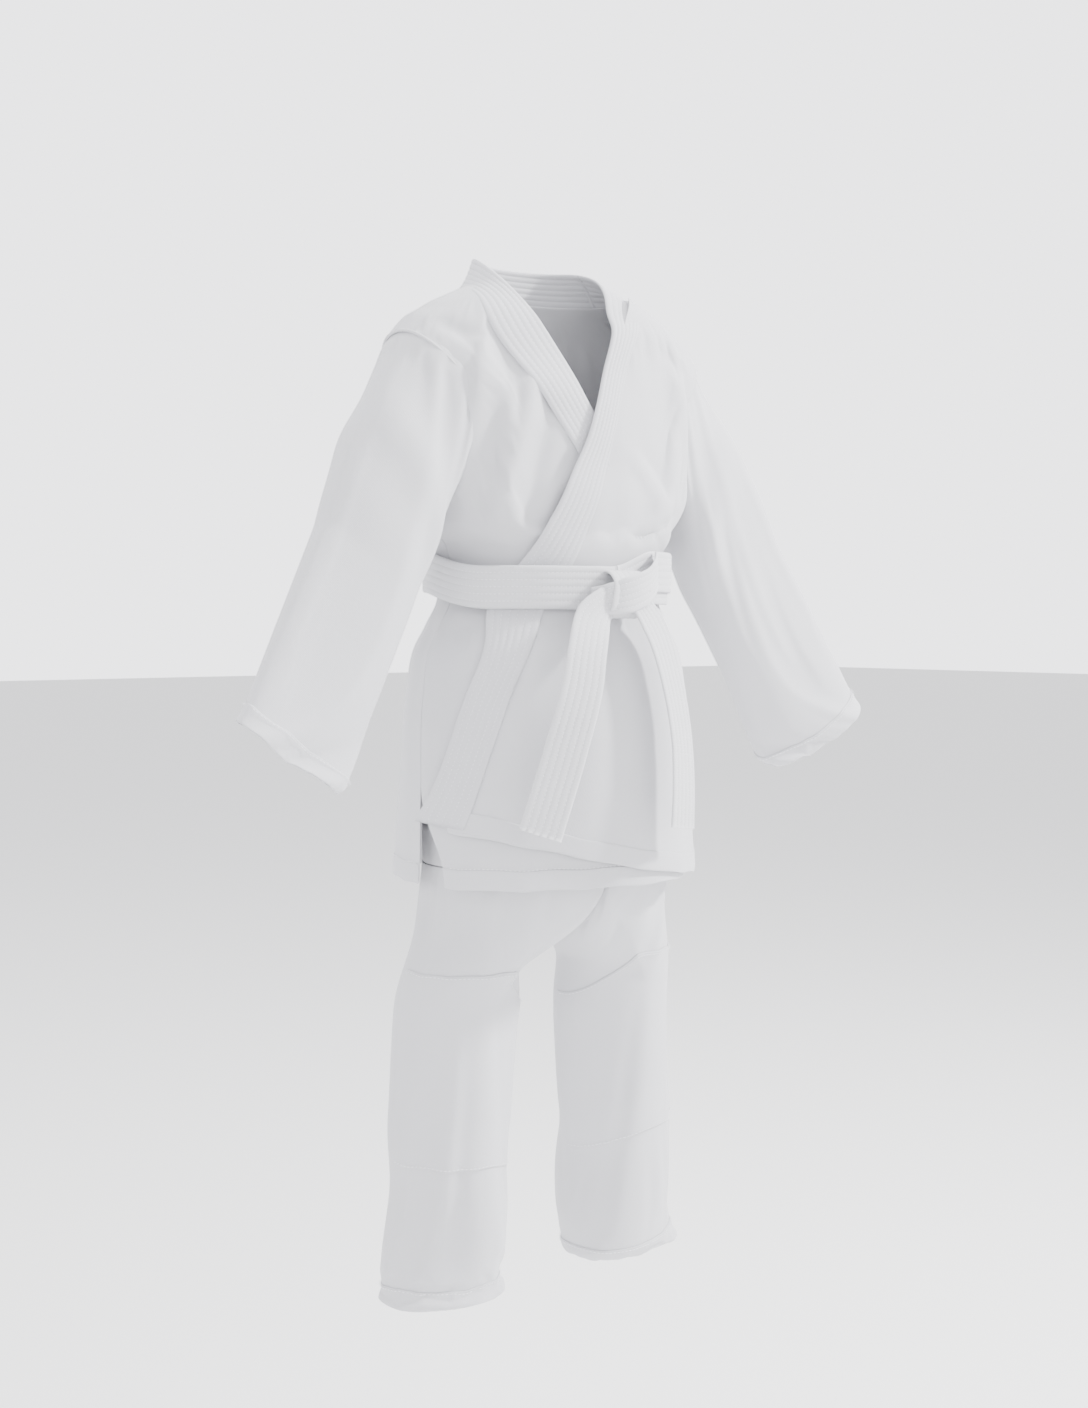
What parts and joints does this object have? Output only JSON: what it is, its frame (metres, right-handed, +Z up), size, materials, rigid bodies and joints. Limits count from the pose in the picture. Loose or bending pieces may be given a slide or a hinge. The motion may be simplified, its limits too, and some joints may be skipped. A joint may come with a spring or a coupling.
{
  "type": "karate uniform",
  "caption": "Child's white cotton karate uniform as worn: wrapped jacket with quilted lapels, tied belt and straight trousers with knee patches.",
  "frame": {"origin": "middle of the neck opening, level with the base of the collar", "axes": "+Z up; the wearer faces -Y, so the wearer's left is +X"},
  "size_m": [0.7692, 0.3095, 1.006],
  "materials": {
    "jacket_canvas": "plain-weave cotton canvas, matt",
    "quilted_band": "cotton band quilted in rows of stitching, matt",
    "belt_cotton": "stitched cotton belt, matt",
    "trouser_canvas": "plain-weave cotton canvas, matt",
    "interlining": "stiff cotton interlining",
    "elastic": "woven elastic"
  },
  "bodies": {
    "jacket": {"back_panel_left": "jacket_canvas", "back_panel_right": "jacket_canvas", "back_hem": "jacket_canvas", "front_panel_left": "jacket_canvas", "front_panel_right": "jacket_canvas", "front_hem_left": "jacket_canvas", "front_hem_right": "jacket_canvas", "lapel_left": "quilted_band", "lapel_right": "quilted_band", "collar_back": "quilted_band", "collar_core": "interlining", "shoulder_lining_left": "jacket_canvas", "shoulder_lining_right": "jacket_canvas", "vent_facing_left": "jacket_canvas", "vent_facing_right": "jacket_canvas", "sleeve_head_left": "jacket_canvas", "sleeve_head_right": "jacket_canvas", "belt_inner_wrap": "belt_cotton", "belt_outer_wrap": "belt_cotton", "belt_knot": "belt_cotton"},
    "right_sleeve": {"sleeve_right": "jacket_canvas", "cuff_hem_right": "jacket_canvas"},
    "left_sleeve": {"sleeve_left": "jacket_canvas", "cuff_hem_left": "jacket_canvas"},
    "right_belt_tail": {"belt_tail_right": "belt_cotton"},
    "left_belt_tail": {"belt_tail_left": "belt_cotton"},
    "trousers": {"waistband": "trouser_canvas", "waist_elastic": "elastic", "hip_panel_left": "trouser_canvas", "hip_panel_right": "trouser_canvas", "crotch_gusset": "trouser_canvas"},
    "right_leg": {"leg_right": "trouser_canvas", "leg_hem_right": "trouser_canvas", "knee_patch_right": "trouser_canvas"},
    "left_leg": {"leg_left": "trouser_canvas", "leg_hem_left": "trouser_canvas", "knee_patch_left": "trouser_canvas"}
  },
  "joints": [
    {"name": "right_shoulder", "type": "hinge", "parent": "jacket", "child": "right_sleeve", "pos_m": [-0.168, -0.008, -0.13], "axis": [0, 1, 0], "range_deg": [0, 62]},
    {"name": "left_shoulder", "type": "hinge", "parent": "jacket", "child": "left_sleeve", "pos_m": [0.168, -0.008, -0.13], "axis": [0, -1, 0], "range_deg": [0, 62]},
    {"name": "right_tail_swing", "type": "hinge", "parent": "jacket", "child": "right_belt_tail", "pos_m": [-0.038, -0.124, -0.321], "axis": [-1, 0, 0], "range_deg": [0, 60]},
    {"name": "left_tail_swing", "type": "hinge", "parent": "jacket", "child": "left_belt_tail", "pos_m": [0.024, -0.126, -0.321], "axis": [-1, 0, 0], "range_deg": [0, 26]},
    {"name": "trousers_pull_down", "type": "slide", "parent": "jacket", "child": "trousers", "axis": [0, 0, -1], "range_m": [0, 0.34]},
    {"name": "right_hip", "type": "hinge", "parent": "trousers", "child": "right_leg", "pos_m": [-0.1, 0.0109, -0.54], "axis": [-1, 0, 0], "range_deg": [-20, 34]},
    {"name": "left_hip", "type": "hinge", "parent": "trousers", "child": "left_leg", "pos_m": [0.1, 0.0109, -0.54], "axis": [-1, 0, 0], "range_deg": [-20, 34]}
  ]
}
